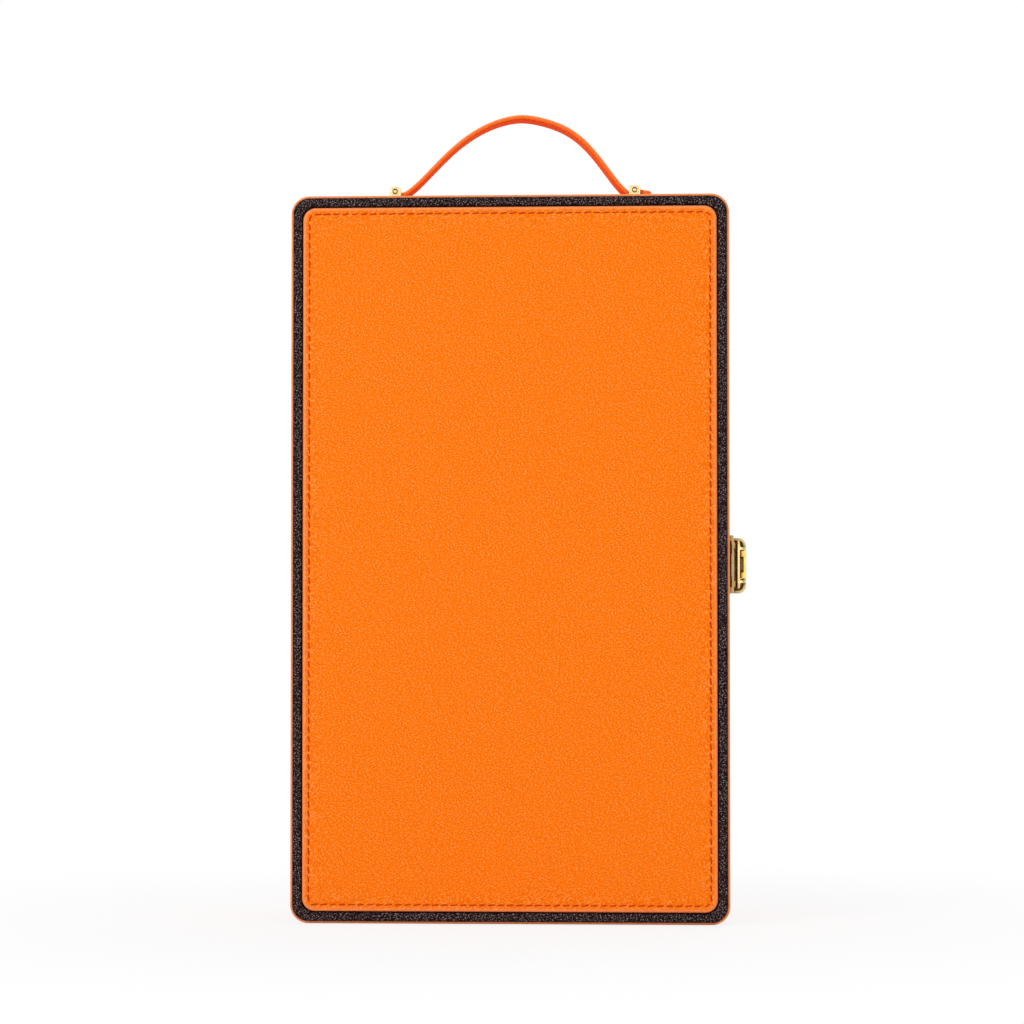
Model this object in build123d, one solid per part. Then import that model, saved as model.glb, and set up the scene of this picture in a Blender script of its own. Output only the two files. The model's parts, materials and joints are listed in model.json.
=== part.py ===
from build123d import *
from math import hypot
import os

# A leather-covered case for two wine bottles that opens like a book about a leather spine.
# Millimetres. X to the right, Y to the back, Z up. The origin is the middle of the bottom face.

# Body of the case
case_width = 205.0
case_depth = 108.0
case_height = 340.0
corner_radius = 8.5
lid_depth = 40.0
seam_gap = 0.4
leather = 1.0
wall = 6.0
board = 4.0
lining = 1.0

# Front and back faces: a black rim round a raised, padded panel
rim_inset = 1.0
rim_width = 4.6
rim_height = 1.6
rim_round = 0.7
panel_gap = 0.15
panel_pad = 2.6
panel_round = 1.2
panel_corner = 6.0
edge_round = 0.6

# Collar that stands out of the back half and centres the lid
collar_wall = 1.6
collar_proud = 4.0
collar_clearance = 0.3

# Two bottles lying side by side
bottle_radius = 38.0
bottle_clearance = 1.0
bottle_spacing = 92.0
bottle_body_length = 200.0
neck_radius = 16.0
neck_block_length = 88.0
cradle_floor = 6.4
lid_pad_setback = 8.0

# Leather spine that hinges the lid
spine_thickness = 0.7
spine_half_width = 16.0
spine_end_margin = 9.0
spine_slit = 0.15

# Carrying strap
strap_width = 16.0
strap_thickness = 2.1
strap_skew = 1.3
strap_level = 4.85
strap_behind_seam = 14.0
strap_rise = 38.05
strap_apex_x = 3.6
strap_fullness_left = 4.1
strap_shoulder_left = 3.0
strap_fullness_right = 4.1
strap_shoulder_right = 5.6
crown_reach = 14.0
arm_start = 1.0
tail_length_left = 11.0
tail_length_right = 6.1
tail_drop_left = 3.6
tail_drop_right = 1.0
tail_fold = 4.0
strap_stations = 12

# Keepers that hold the strap
keeper_spacing = 115.0
keeper_width = 5.4
keeper_height = 9.2
keeper_wall = 1.5
keeper_foot = 8.4
keeper_base = 1.4
keeper_side_clearance = 0.6
keeper_round = 0.5
keeper_pin_radius = 0.75
keeper_pin_level = 7.1
keeper_pin_head_radius = 0.95
keeper_pin_head = 0.35
keeper_recess_radius = 1.25
keeper_recess = 0.6
keeper_screw_spacing = 9.2

# Screws into the wooden rails
screw_radius = 1.1
screw_head_radius = 1.9
screw_head = 0.9
screw_length = 5.5
screw_clearance = 0.05

# Toggle latch on the right side. The lever turns on a pin and draws a wire bail over a hook
latch_level = 167.5
latch_reach = 7.8
pivot_behind_seam = 10.0
pivot_height = 4.0
pivot_pin_radius = 1.0
pivot_clearance = 0.05
pivot_head_radius = 1.5
pivot_head = 0.65
ear_thickness = 1.2
ear_radius = 2.5
ear_offset = 6.0
base_thickness = 1.0
base_width = 24.0
base_front = 8.5
base_back = 19.0
plate_corner = 2.0
base_screw_front = 6.0
base_screw_back = 15.0
base_screw_spacing = 17.0
sheet_metal = 1.2
neck_width = 17.0
neck_nose_radius = 2.7
neck_end = 10.0
bill_start = 9.5
bill_end = 26.0
bill_width = 26.4
bill_corner = 3.6
lever_lift = 1.6
tab_length = 2.5
tab_width = 12.0
tab_thickness = 1.4
wire_radius = 0.9
bail_arm = 7.0
bail_reach = 23.0
bail_width = 21.0
bail_bend = 1.8
hook_width = 13.0
hook_clearance = 0.15
hook_back = 3.7
hook_pocket_width = 7.4
hook_pocket_depth = 2.4
hook_cap = 1.2
catch_width = 27.2
catch_foot = 2.8
catch_plate = 0.8
catch_bridge = 1.1
catch_front = 10.0
catch_back = 4.5
catch_screw_spacing = 18.0
catch_screw_front = 6.5

# Derived places
panel_thickness = panel_pad + leather
seam_y = -case_depth / 2 + lid_depth
rails_width = case_width - 2 * leather
rails_height = case_height - 2 * leather
rails_corner = corner_radius - leather
cavity_width = rails_width - 2 * wall
cavity_height = rails_height - 2 * wall
lined_width = cavity_width - 2 * lining
lined_height = cavity_height - 2 * lining
cavity_start = panel_thickness + board
lined_start = cavity_start + lining
lined_bottom = (case_height - lined_height) / 2
lined_top = case_height - lined_bottom
channel_radius = bottle_radius + bottle_clearance
neck_channel_radius = neck_radius + bottle_clearance
rear_floor_y = case_depth / 2 - lined_start
lid_floor_y = -case_depth / 2 + lined_start
bottle_y = rear_floor_y - cradle_floor - channel_radius
lid_pad_face_y = seam_y - lid_pad_setback
side_x = case_width / 2
hinge_x = -side_x - spine_thickness
strap_z = case_height + strap_level
keeper_x = keeper_spacing / 2
strap_y = seam_y + strap_behind_seam
pivot_y = seam_y + pivot_behind_seam
bar_v = bail_arm - bail_reach

halves = {
    "front": {"outer": -case_depth / 2, "inward": 1.0, "depth": lid_depth},
    "rear": {"outer": case_depth / 2, "inward": -1.0, "depth": case_depth - lid_depth},
}
nodes = {}


def save(name, shape):
    """Keep one piece of the case under its name."""
    nodes[name] = shape


def prism(width, height, corner, y_from, y_to):
    """Upright block with rounded corners, centred on the case, between two depths."""
    low, high = sorted((y_from, y_to))
    plane = Plane(origin=(0, low, case_height / 2), x_dir=(1, 0, 0), z_dir=(0, 1, 0))
    outline = RectangleRounded(width, height, corner) if corner > 0 else Rectangle(width, height)
    return extrude(plane * outline, high - low)


def layer(half, width, height, corner, start, stop):
    """Block that lies between two depths counted inwards from a half's outer face."""
    outer, inward = half["outer"], half["inward"]
    return prism(width, height, corner, outer + inward * start, outer + inward * stop)


def outline_edges(shape, y):
    """Edges of a block that lie in the upright plane at one depth."""
    return shape.edges().filter_by_position(Axis.Y, y - 0.01, y + 0.01)


def outer_edges(shape, half, start):
    """Edges of a block at one depth counted inwards from a half's outer face."""
    return outline_edges(shape, half["outer"] + half["inward"] * start)


def block(x_from, x_to, y_from, y_to, z_from, z_to):
    """Box between two corners."""
    size = (x_to - x_from, y_to - y_from, z_to - z_from)
    middle = ((x_from + x_to) / 2, (y_from + y_to) / 2, (z_from + z_to) / 2)
    return Pos(*middle) * Box(*size)


def rod(start, end, radius):
    """Round bar from one point to another."""
    way = Vector(*end) - Vector(*start)
    return extrude(Plane(origin=start, z_dir=way) * Circle(radius), way.length)


def screw(seat, inward, radius, head_radius, head, length):
    """Screw whose head stands on its seat, with the shank pointing inwards."""
    seat, way = Vector(*seat), Vector(*inward)
    shank = rod(seat, seat + way * length, radius)
    return rod(seat - way * head, seat, head_radius) + shank


def screw_holes(seats, inward, length):
    """Clearance holes for a row of screws."""
    way = Vector(*inward)
    radius = screw_radius + screw_clearance
    return [rod(Vector(*seat) - way, Vector(*seat) + way * length, radius) for seat in seats]


def cut_all(shape, cutters):
    """Take every cutter away from a shape."""
    for cutter in cutters:
        shape = shape - cutter
    return shape


# Where the screws go

def keeper_screw_seats(side):
    """Seats of the two sunk screws in a keeper's foot, under the strap."""
    z = case_height + keeper_base - screw_head
    return [
        (side * keeper_x, strap_y + across * keeper_screw_spacing / 2, z) for across in (-1, 1)
    ]


def base_screw_seats():
    """Seats of the four screws in the latch's base plate."""
    x = side_x + base_thickness
    return [
        (x, pivot_y + v, latch_level + across * base_screw_spacing / 2)
        for v in (-base_screw_front, base_screw_back)
        for across in (-1, 1)
    ]


def catch_screw_seats():
    """Seats of the two screws in the latch's catch plate."""
    x = side_x + catch_bridge + catch_plate
    y = pivot_y + bar_v - catch_screw_front
    return [(x, y, latch_level + across * catch_screw_spacing / 2) for across in (-1, 1)]


down = (0, 0, -1)
to_case = (-1, 0, 0)
rear_hole_cutters = (
    screw_holes(keeper_screw_seats(-1), down, screw_length)
    + screw_holes(keeper_screw_seats(1), down, screw_length)
    + screw_holes(base_screw_seats(), to_case, screw_length)
)
front_hole_cutters = screw_holes(catch_screw_seats(), to_case, screw_length)


def rails(half):
    """Four wooden rails that make the walls of a half: two tall sides, and a top and a bottom."""
    stop = half["depth"] - seam_gap / 2 - leather
    ring = layer(half, rails_width, rails_height, rails_corner, panel_thickness, stop)
    ring -= layer(half, cavity_width, cavity_height, 0, panel_thickness, stop)
    far, deep = case_width, case_depth
    inner = cavity_width / 2
    middle = case_height / 2
    return {
        "left_rail": ring & block(-far, -inner, -deep, deep, 0, case_height),
        "right_rail": ring & block(inner, far, -deep, deep, 0, case_height),
        "top_rail": ring & block(-inner, inner, -deep, deep, middle, case_height),
        "bottom_rail": ring & block(-inner, inner, -deep, deep, 0, middle),
    }


def side_leather(half):
    """Leather wrapped round the walls and turned in over both their edges."""
    front = panel_thickness - leather
    stop = half["depth"] - seam_gap / 2
    turn_in = rim_inset + rim_width
    wrap = layer(half, case_width, case_height, corner_radius, front, stop)
    wrap = fillet(outer_edges(wrap, half, front), edge_round)
    wrap = fillet(outer_edges(wrap, half, stop), edge_round)
    wrap -= layer(
        half, rails_width, rails_height, rails_corner, panel_thickness, stop - leather
    )
    wrap -= layer(
        half,
        case_width - 2 * turn_in,
        case_height - 2 * turn_in,
        corner_radius - turn_in,
        front,
        panel_thickness,
    )
    return wrap - layer(half, cavity_width, cavity_height, 0, stop - leather, stop)


def rim(half):
    """Black leather band round a face, rounded along both edges."""
    start = panel_thickness - leather - rim_height
    stop = panel_thickness - leather
    inner = rim_inset + rim_width
    band = layer(
        half,
        case_width - 2 * rim_inset,
        case_height - 2 * rim_inset,
        corner_radius - rim_inset,
        start,
        stop,
    )
    band -= layer(
        half,
        case_width - 2 * inner,
        case_height - 2 * inner,
        panel_corner + panel_gap,
        start,
        stop,
    )
    return fillet(outer_edges(band, half, start), rim_round)


def panel(half):
    """Leather cover and foam pad of a raised panel."""
    inset = rim_inset + rim_width + panel_gap
    width, height = case_width - 2 * inset, case_height - 2 * inset
    cover = layer(half, width, height, panel_corner, 0, panel_thickness)
    cover = fillet(outer_edges(cover, half, 0), panel_round)
    pad = layer(
        half,
        width - 2 * leather,
        height - 2 * leather,
        panel_corner - leather,
        leather,
        panel_thickness,
    )
    return cover - pad, pad


def lining_tray(half):
    """Soft lining glued to the floor and walls of a half."""
    stop = half["depth"] - seam_gap / 2
    tray = layer(half, cavity_width, cavity_height, 0, cavity_start, stop)
    return tray - layer(half, lined_width, lined_height, 0, lined_start, stop)


def half_shell(name, half, holes):
    """Walls, board, leathers, panel and lining of one half."""
    for rail, shape in rails(half).items():
        save(f"{name}_{rail}", cut_all(shape, holes))
    save(
        f"{name}_board",
        layer(half, cavity_width, cavity_height, 0, panel_thickness, cavity_start),
    )
    save(f"{name}_side_leather", cut_all(side_leather(half), holes))
    save(f"{name}_rim_leather", rim(half))
    cover, pad = panel(half)
    save(f"{name}_panel_leather", cover)
    save(f"{name}_panel_pad", pad)
    save(f"{name}_lining", lining_tray(half))


def channels(radius, z_from, z_to):
    """Two upright round bars where the bottles or their necks lie."""
    places = [side * bottle_spacing / 2 for side in (-1, 1)]
    return [rod((x, bottle_y, z_from), (x, bottle_y, z_to), radius) for x in places]


def cradles():
    """Foam that holds the bottles: body and neck blocks at the back and a shallow pad in the lid."""
    inner = lined_width / 2
    body_top = lined_bottom + bottle_body_length
    neck_bottom = lined_top - neck_block_length
    body = block(-inner, inner, bottle_y, rear_floor_y, lined_bottom, body_top)
    save("rear_body_cradle", cut_all(body, channels(channel_radius, lined_bottom, body_top)))
    neck = block(-inner, inner, bottle_y, rear_floor_y, neck_bottom, lined_top)
    save("rear_neck_cradle", cut_all(neck, channels(neck_channel_radius, neck_bottom, lined_top)))
    pad = block(-inner, inner, lid_floor_y, lid_pad_face_y, lined_bottom, body_top)
    save("front_body_pad", cut_all(pad, channels(channel_radius, lined_bottom, body_top)))
    save("front_neck_pad", block(-inner, inner, lid_floor_y, lid_pad_face_y, neck_bottom, lined_top))


def collar():
    """Lined card collar on the back half's cradles that stands proud of the seam."""
    reach = seam_y - collar_proud
    glued = prism(lined_width, lined_height, 0, bottle_y, seam_y)
    proud_width = lined_width - 2 * collar_clearance
    proud_height = lined_height - 2 * collar_clearance
    proud = prism(proud_width, proud_height, 0, seam_y, reach)
    inner_width = proud_width - 2 * collar_wall
    inner_height = proud_height - 2 * collar_wall
    save("rear_collar", glued + proud - prism(inner_width, inner_height, 0, bottle_y, reach))


def spine():
    """Leather hinge strip, one part glued to each half."""
    top, bottom = case_height - spine_end_margin, spine_end_margin
    near, far = spine_slit, spine_half_width
    save("spine_leather_front", block(hinge_x, -side_x, seam_y - far, seam_y - near, bottom, top))
    save("spine_leather_rear", block(hinge_x, -side_x, seam_y + near, seam_y + far, bottom, top))


# The strap's side view: each leg climbs from its keeper to the apex. With s from 0 at the keeper to 1
# at the apex, the climb is 4 s^3 - 3 s^4 + s^2 (1 - s)^2 (fullness + shoulder (1 - s)), level at both
# ends. The strap lies a little askew: its far edge sits to the left of its near edge

def climb(s, fullness, shoulder):
    """Share of the rise at a share of the way from keeper to apex."""
    return 4 * s**3 - 3 * s**4 + s**2 * (1 - s) ** 2 * (fullness + shoulder * (1 - s))


def strap_height(x):
    """Height of the strap's middle line at x."""
    if x < -keeper_x:
        return tail_height(-keeper_x - x, tail_length_left, tail_drop_left)
    if x > keeper_x:
        return tail_height(x - keeper_x, tail_length_right, tail_drop_right)
    if x < strap_apex_x:
        share = climb(
            (x + keeper_x) / (strap_apex_x + keeper_x), strap_fullness_left, strap_shoulder_left
        )
    else:
        share = climb(
            (keeper_x - x) / (keeper_x - strap_apex_x), strap_fullness_right, strap_shoulder_right
        )
    return strap_z + strap_rise * share


def tail_height(out, length, drop):
    """Height of a tail's middle line: it droops smoothly beyond the keeper."""
    s = out / length
    return strap_z - drop * (3 * s**2 - 2 * s**3)


def strap_piece(x_from, x_to, lift=0):
    """Flat strap that follows its middle line between two places, or a layer lifted off it."""
    step = (x_to - x_from) / strap_stations
    nudge = step / 100
    upper, lower = [], []
    for n in range(strap_stations + 1):
        x = x_from + n * step
        slope = (strap_height(x + nudge) - strap_height(x - nudge)) / (2 * nudge)
        scale = strap_thickness / 2 / hypot(1, slope)
        z = strap_height(x) + lift
        upper.append((x - slope * scale, 0, z + scale))
        lower.append((x + slope * scale, 0, z - scale))
    edges = [
        Spline(*upper),
        Line(upper[-1], lower[-1]),
        Spline(*reversed(lower)),
        Line(lower[0], upper[0]),
    ]
    face = Pos(0, strap_y - strap_width / 2, 0) * make_face(edges)
    return extrude(face, hypot(strap_width, strap_skew), dir=(-strap_skew, strap_width, 0))


def strap_tail(side, length, drop):
    """End of the strap beyond its keeper, folded back over itself so that it can't pull through."""
    inner, end = side * (keeper_x - arm_start), side * (keeper_x + length)
    fold_start = end - side * tail_fold
    tail = strap_piece(min(inner, end), max(inner, end))
    tail += strap_piece(min(fold_start, end), max(fold_start, end), strap_thickness)
    near_y, z = strap_y - strap_width / 2, strap_z - drop + strap_thickness / 2
    fold = Plane(origin=(end, near_y, z), z_dir=(0, 1, 0)) * Circle(strap_thickness)
    return tail + extrude(
        fold, hypot(strap_width, strap_skew), dir=(-strap_skew, strap_width, 0)
    )


def handle():
    """Carrying strap in five stretches: crown, two bending arms and two tails beyond the keepers."""
    crown_left, crown_right = strap_apex_x - crown_reach, strap_apex_x + crown_reach
    arm_x = keeper_x - arm_start
    save("handle_crown", strap_piece(crown_left, crown_right))
    save("handle_arm_left", strap_piece(-arm_x, crown_left))
    save("handle_arm_right", strap_piece(crown_right, arm_x))
    save("handle_tail_left", strap_tail(-1, tail_length_left, tail_drop_left))
    save("handle_tail_right", strap_tail(1, tail_length_right, tail_drop_right))


def keeper(side):
    """Brass U bracket with a foot, drilled for its sunk cross pin and two sunk screws."""
    x = side * keeper_x
    half_gap = strap_width / 2 + keeper_side_clearance
    outer = half_gap + keeper_wall
    top = case_height + keeper_height
    foot = block(
        x - keeper_foot / 2,
        x + keeper_foot / 2,
        strap_y - outer,
        strap_y + outer,
        case_height,
        case_height + keeper_base,
    )
    cheeks = [
        block(
            x - keeper_width / 2,
            x + keeper_width / 2,
            strap_y + across * (half_gap + keeper_wall / 2) - keeper_wall / 2,
            strap_y + across * (half_gap + keeper_wall / 2) + keeper_wall / 2,
            case_height,
            top,
        )
        for across in (-1, 1)
    ]
    cheeks = [fillet(cheek.edges().group_by(Axis.Z)[-1], keeper_round) for cheek in cheeks]
    body = foot + cheeks[0] + cheeks[1]
    hole_radius = keeper_pin_radius + screw_clearance
    z = case_height + keeper_pin_level
    body -= rod((x, strap_y - outer, z), (x, strap_y + outer, z), hole_radius)
    for across in (-1, 1):
        seat = (x, strap_y + across * (outer - keeper_recess), z)
        body -= rod(seat, (x, strap_y + across * outer, z), keeper_recess_radius)
    sunk = screw_head_radius + screw_clearance
    for seat in keeper_screw_seats(side):
        body -= rod(Vector(*seat), Vector(*seat) + Vector(0, 0, keeper_base), sunk)
    return cut_all(body, screw_holes(keeper_screw_seats(side), down, screw_length))


def keeper_pin(side):
    """Cross pin over the strap, with a small head in the round recess of each cheek."""
    x, z = side * keeper_x, case_height + keeper_pin_level
    reach = strap_width / 2 + keeper_side_clearance + keeper_wall - keeper_recess
    pin = rod((x, strap_y - reach, z), (x, strap_y + reach, z), keeper_pin_radius)
    for across in (-1, 1):
        start = (x, strap_y + across * reach, z)
        end = (x, strap_y + across * (reach + keeper_pin_head), z)
        pin += rod(start, end, keeper_pin_head_radius)
    return pin


def keepers():
    """Both keepers with their pins and screws."""
    for name, side in (("left", -1), ("right", 1)):
        save(f"keeper_{name}", keeper(side))
        save(f"keeper_pin_{name}", keeper_pin(side))
    seats = keeper_screw_seats(-1) + keeper_screw_seats(1)
    save("keeper_screws", screws(seats, down))


def screws(seats, inward):
    """Group of equal screws, one in each seat."""
    return Compound(
        children=[
            screw(seat, inward, screw_radius, screw_head_radius, screw_head, screw_length)
            for seat in seats
        ]
    )


# Latch pieces are drawn in the latch's own frame: x out from the case's side, y back from the
# lever's pivot, z up from the latch's middle. The wire bail and the hook share these places

def place(shape):
    """Carry a latch piece from its own frame to the case."""
    return Pos(side_x, pivot_y, latch_level) * shape


def across_pair(offset, thickness, sketch):
    """Two equal plates of one outline, standing to each side of the latch's middle."""
    return [
        extrude(Plane.XY.offset(side * offset - thickness / 2) * sketch, thickness)
        for side in (-1, 1)
    ]


def latch_base():
    """Base plate with two ears that carry the lever's pin."""
    plate = block(0, base_thickness, -base_front, base_back, -base_width / 2, base_width / 2)
    plate = fillet(plate.edges().filter_by(Axis.X), plate_corner)
    ear = Pos(pivot_height, 0) * Circle(ear_radius)
    ear += Pos(pivot_height / 2, 0) * Rectangle(pivot_height, 2 * ear_radius)
    for plate_ear in across_pair(ear_offset, ear_thickness, ear):
        plate += plate_ear
    bore = pivot_pin_radius + pivot_clearance
    plate -= rod((pivot_height, 0, -base_width), (pivot_height, 0, base_width), bore)
    return cut_all(place(plate), screw_holes(base_screw_seats(), to_case, screw_length))


def latch_pin():
    """Pivot pin through the ears and the lever's cheeks, riveted over at both ends."""
    reach = neck_width / 2 + pivot_clearance
    pin = rod((pivot_height, 0, -reach), (pivot_height, 0, reach), pivot_pin_radius)
    for side in (-1, 1):
        start = (pivot_height, 0, side * reach)
        end = (pivot_height, 0, side * (reach + pivot_head))
        pin += rod(start, end, pivot_head_radius)
    return place(pin)


def latch_lever():
    """Duckbill lever: a narrow hollow neck round the pin and a wide hollow bill behind it."""
    nose = Pos(pivot_height, 0) * Circle(neck_nose_radius)
    side = Pos((lever_lift + latch_reach) / 2, neck_end / 2) * Rectangle(
        latch_reach - lever_lift, neck_end
    )
    neck = extrude(Plane.XY.offset(-neck_width / 2) * (nose + side), neck_width)
    inner = neck_width / 2 - sheet_metal
    roof = latch_reach - sheet_metal
    neck -= block(0, roof, 0, neck_end, -inner, inner)
    neck -= block(0, latch_reach, -neck_nose_radius, 0, -inner, inner)
    bill = block(
        lever_lift, latch_reach, bill_start, bill_end, -bill_width / 2, bill_width / 2
    )
    corners = bill.edges().filter_by(Axis.Y).group_by(Axis.X)[-1]
    bill = fillet(corners, bill_corner)
    room = bill_width / 2 - sheet_metal
    hollow = block(0, roof, 0, bill_end - sheet_metal, -room, room)
    hollow = fillet(
        hollow.edges().filter_by(Axis.Y).group_by(Axis.X)[-1], bill_corner - sheet_metal
    )
    bill -= hollow
    tab = block(
        latch_reach - bill_corner - tab_thickness,
        latch_reach - bill_corner,
        bill_end - sheet_metal / 2,
        bill_end + tab_length,
        -tab_width / 2,
        tab_width / 2,
    )
    tab = fillet(tab.edges().filter_by(Axis.X).group_by(Axis.Y)[-1], tab_thickness)
    lever = neck + bill + tab
    for v, radius in ((0, pivot_pin_radius), (bail_arm, wire_radius)):
        start, end = (pivot_height, v, -neck_width), (pivot_height, v, neck_width)
        lever -= rod(start, end, radius + pivot_clearance)
    return place(lever)


def latch_bail():
    """Wire loop whose ends turn in the lever's cheeks and whose bar sits behind the hook's lip."""
    x, leg, end = pivot_height, bail_width / 2, neck_width / 2 - sheet_metal
    path = FilletPolyline(
        (x, bail_arm, -end),
        (x, bail_arm, -leg),
        (x, bar_v, -leg),
        (x, bar_v, leg),
        (x, bail_arm, leg),
        (x, bail_arm, end),
        radius=bail_bend,
    )
    section = Plane(origin=path @ 0, z_dir=path % 0) * Circle(wire_radius)
    return place(sweep(section, path=path))


def latch_catch():
    """Bridge-shaped plate with a hook. The hook's face is an arc about the bail's swing, so it clears."""
    top = catch_bridge + catch_plate
    front, back = bar_v - catch_front, bar_v + catch_back
    half = catch_width / 2
    plate = block(0, top, front, back, -half, half)
    plate = fillet(plate.edges().filter_by(Axis.Y).group_by(Axis.X)[-1], catch_plate)
    plate -= block(0, catch_bridge, front, back, -half + catch_foot, half - catch_foot)
    centre = Pos(pivot_height, bar_v - bail_arm)
    face_radius = bail_arm + wire_radius + hook_clearance
    post = Pos((catch_bridge + latch_reach) / 2, bar_v + hook_back / 2) * Rectangle(
        latch_reach - catch_bridge, hook_back
    )
    post -= centre * Circle(face_radius)
    hook = extrude(Plane.XY.offset(-hook_width / 2) * post, hook_width)
    pocket = hook_pocket_width / 2
    hook -= block(
        top + catch_plate, latch_reach - hook_cap, bar_v, bar_v + hook_pocket_depth, -pocket, pocket
    )
    return cut_all(
        place(plate + hook), screw_holes(catch_screw_seats(), to_case, screw_length + top)
    )


def latch():
    """Catch on the lid, and base, lever, pin and bail on the back half."""
    save("latch_catch_plate", latch_catch())
    save("latch_base_plate", latch_base())
    save("latch_pivot_pin", latch_pin())
    save("latch_lever", latch_lever())
    save("latch_bail", latch_bail())
    save("latch_catch_screws", screws(catch_screw_seats(), to_case))
    save("latch_base_screws", screws(base_screw_seats(), to_case))


half_shell("front", halves["front"], front_hole_cutters)
half_shell("rear", halves["rear"], rear_hole_cutters)
cradles()
collar()
spine()
handle()
keepers()
latch()

os.makedirs("parts", exist_ok=True)
for name, shape in nodes.items():
    export_step(shape, f"parts/{name}.step")
print(len(nodes), "pieces written")
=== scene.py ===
import json
import math

import bmesh
import bpy
import numpy as np
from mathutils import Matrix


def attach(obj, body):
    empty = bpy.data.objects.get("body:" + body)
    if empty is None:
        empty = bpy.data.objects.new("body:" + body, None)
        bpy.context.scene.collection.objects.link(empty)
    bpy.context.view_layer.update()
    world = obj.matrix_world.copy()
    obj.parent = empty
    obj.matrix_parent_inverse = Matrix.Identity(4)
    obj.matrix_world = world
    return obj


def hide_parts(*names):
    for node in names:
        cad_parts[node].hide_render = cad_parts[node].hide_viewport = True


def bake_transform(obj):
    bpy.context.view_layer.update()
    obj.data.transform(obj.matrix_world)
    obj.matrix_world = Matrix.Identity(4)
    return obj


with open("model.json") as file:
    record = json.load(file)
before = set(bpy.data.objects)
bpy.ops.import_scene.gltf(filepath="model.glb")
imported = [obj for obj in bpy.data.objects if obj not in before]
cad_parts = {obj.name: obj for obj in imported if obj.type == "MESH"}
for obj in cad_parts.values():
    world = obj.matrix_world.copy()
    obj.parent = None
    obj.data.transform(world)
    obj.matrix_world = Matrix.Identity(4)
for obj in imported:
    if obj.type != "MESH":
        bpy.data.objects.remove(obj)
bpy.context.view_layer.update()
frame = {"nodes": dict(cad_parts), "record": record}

random = np.random.default_rng(41)

# All shapes below are worked out in millimetres, X right, Y back, Z up, and stored in metres
case = {
    "width": 205.0,
    "depth": 108.0,
    "height": 340.0,
    "corner": 8.5,
    "seam": -14.0,          # where lid and back half meet
    "seamGap": 0.4,
    "leather": 1.0,
    "panelThickness": 3.6,
    "cavityInset": 7.0,     # walls, from the outside to the lining
    "foldRadius": 0.7,      # of the leather round its edges
    "liningThickness": 1.0,
    "liningStart": 7.6,     # depth of the lining's outer floor, from the outer face
    "liningCorner": 0.7,
    "liningFoot": 2.2,      # radius between the lining's floor and walls
}
middleZ = case["height"] / 2
halves = {
    "front": {"outer": -case["depth"] / 2, "inward": 1.0, "body": "lid"},
    "rear": {"outer": case["depth"] / 2, "inward": -1.0, "body": "case_back"},
}


def gridFaces(rows, columns, closeRows=False, closeColumns=False):
    # Quads of a grid whose points are stored row by row
    r = np.arange(rows if closeRows else rows - 1)[:, None]
    c = np.arange(columns if closeColumns else columns - 1)[None, :]
    nextRow, nextColumn = (r + 1) % rows, (c + 1) % columns
    corners = (
        r * columns + c,
        r * columns + nextColumn,
        nextRow * columns + nextColumn,
        nextRow * columns + c,
    )
    return np.stack([np.broadcast_to(k, (r.size, c.size)).ravel() for k in corners], 1)


def makePiece(name, points, faces, material, slot, sharpAngle=42, **layers):
    # A closed mesh in metres: doubled points are merged and all faces turned outwards. A layer is a
    # number from 0 to 1 at each point, which the material reads
    mesh = bpy.data.meshes.new(name)
    mesh.from_pydata((points.reshape(-1, 3) * 0.001).tolist(), [], faces)
    for label, values in layers.items():
        layer = mesh.attributes.new(label, "FLOAT", "POINT")
        layer.data.foreach_set("value", values.ravel().astype(np.float32))
    shape = bmesh.new()
    shape.from_mesh(mesh)
    bmesh.ops.remove_doubles(shape, verts=shape.verts, dist=2e-6)
    bmesh.ops.recalc_face_normals(shape, faces=shape.faces)
    shape.to_mesh(mesh)
    shape.free()
    sides = np.empty(len(mesh.polygons), int)
    mesh.polygons.foreach_get("loop_total", sides)
    mesh.polygons.foreach_set("use_smooth", sides < 5)
    mesh.set_sharp_from_angle(angle=math.radians(sharpAngle))
    mesh.materials.append(material)
    piece = bpy.data.objects.new(name, mesh)
    bpy.context.scene.collection.objects.link(piece)
    return piece


def roundedLoop(width, height, corner, turns, along):
    # Points round a rectangle with quarter-circle corners: the same count for every size, so that
    # loops of different sizes join into one surface. along is the count on tall and on short sides
    halfW, halfH = width / 2 - corner, height / 2 - corner
    centres = np.array([(halfW, halfH), (-halfW, halfH), (-halfW, -halfH), (halfW, -halfH)])
    parts = []
    for k in range(4):
        angle = np.radians(np.linspace(90 * k, 90 * k + 90, turns + 1))
        direction = np.stack([np.cos(angle), np.sin(angle)], 1)
        arc = centres[k] + corner * direction
        end = centres[(k + 1) % 4] + corner * direction[-1]
        share = np.linspace(0, 1, along[k % 2 == 0] + 2)[1:-1, None]
        parts += [arc, arc[-1] + (end - arc[-1]) * share]
    return np.concatenate(parts)


def lengthsAlong(line):
    # Length of a line of (u, v) places from its start to each of them
    return np.concatenate([[0], np.cumsum(np.hypot(*np.diff(line, axis=0).T))])


def placesAt(s, length, line):
    # Places on a line at the lengths s from its start
    return np.stack([np.interp(s, length, line[:, k]) for k in (0, 1)], 1)


def loopFrame(width, height, corner, pitch):
    # Places at an even pitch round a rounded rectangle, with the way along it at each
    fine = roundedLoop(width, height, corner, 40, (400, 250))
    fine = np.concatenate([fine, fine[:1]])
    length = lengthsAlong(fine)
    count = round(length[-1] / pitch)
    s = (np.arange(count) + 0.5) * length[-1] / count
    place = placesAt(s, length, fine)
    way = placesAt((s + 0.2) % length[-1], length, fine) - place
    return place, way / np.hypot(*way.T)[:, None]


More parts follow.
